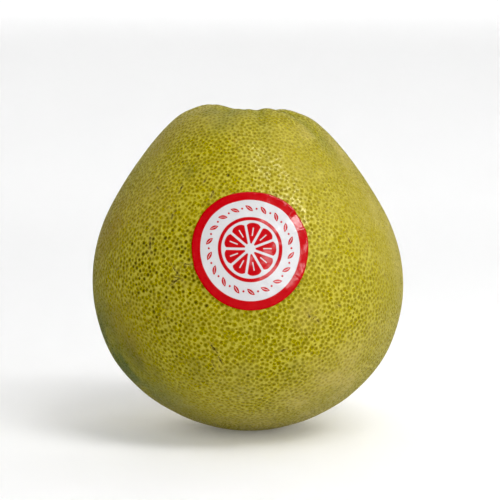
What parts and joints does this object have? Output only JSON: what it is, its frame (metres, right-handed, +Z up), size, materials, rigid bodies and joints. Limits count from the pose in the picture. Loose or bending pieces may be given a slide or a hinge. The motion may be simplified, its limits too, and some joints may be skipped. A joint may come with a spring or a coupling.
{
  "type": "pomelo",
  "caption": "Whole pomelo, pear-shaped with a dimpled stem end, resting on its blossom end, with a dry stem button and a round paper label on its side.",
  "frame": {"origin": "on the surface that the fruit rests on, under the middle of its box", "axes": "+Z up through the stem end; -Y out of the side with the label; +X to the right as the label is read"},
  "size_m": [0.1556, 0.1543, 0.1628],
  "materials": {
    "rind": "waxy citrus rind, pitted all over with oil glands",
    "stem": "dry woody calyx and cut stalk",
    "label": "glossy printed paper"
  },
  "bodies": {
    "root": {"fruit": "rind", "stem_button": "stem", "label_sticker": "label"}
  },
  "joints": []
}
